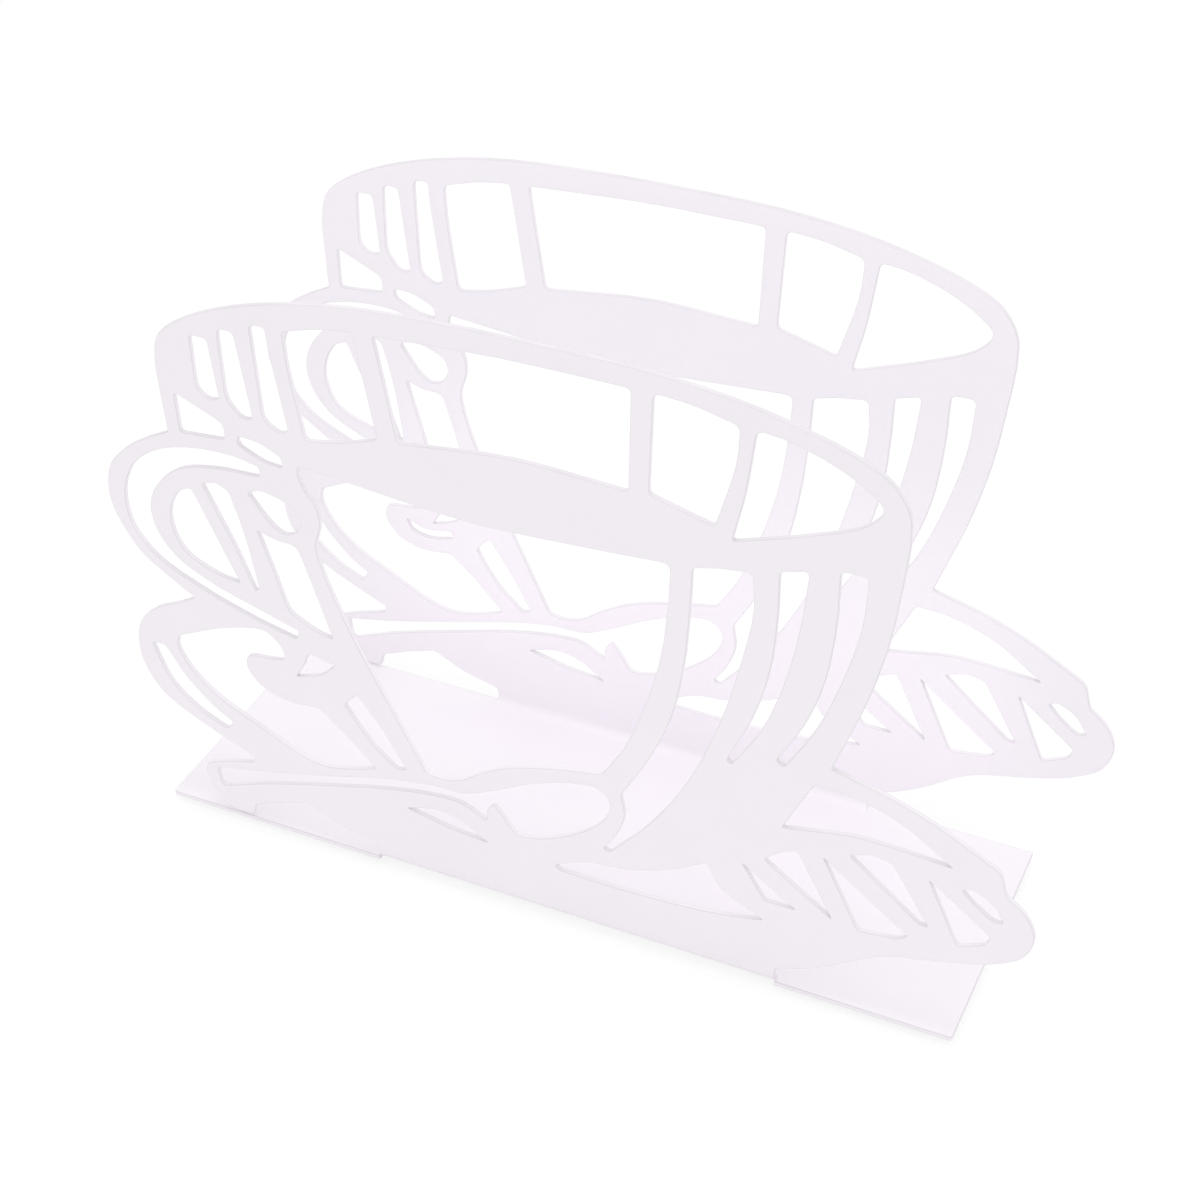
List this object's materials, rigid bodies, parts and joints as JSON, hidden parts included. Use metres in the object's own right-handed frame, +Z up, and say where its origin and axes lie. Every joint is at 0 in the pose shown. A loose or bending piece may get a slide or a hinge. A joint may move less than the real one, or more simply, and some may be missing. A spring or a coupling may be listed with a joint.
{
  "type": "napkin holder",
  "caption": "Upright napkin holder of folded sheet steel with a flat base and pierced panels cut as a cup on a saucer with a spoon, on small pads.",
  "frame": {"origin": "on the surface that the pads stand on, under the middle of the object's length and width", "axes": "+X along the panels towards the saucer's fan, the cup's handle towards -X; +Y from the front panel to the rear panel; +Z up"},
  "size_m": [0.1498, 0.0504, 0.1075],
  "materials": {
    "white_coat": "fine satin powder coat",
    "pad": "matt"
  },
  "bodies": {
    "root": {"base_plate": "white_coat", "front_panel": "white_coat", "rear_panel": "white_coat", "foot_front_left": "pad", "foot_front_right": "pad", "foot_rear_left": "pad", "foot_rear_right": "pad"}
  },
  "joints": []
}
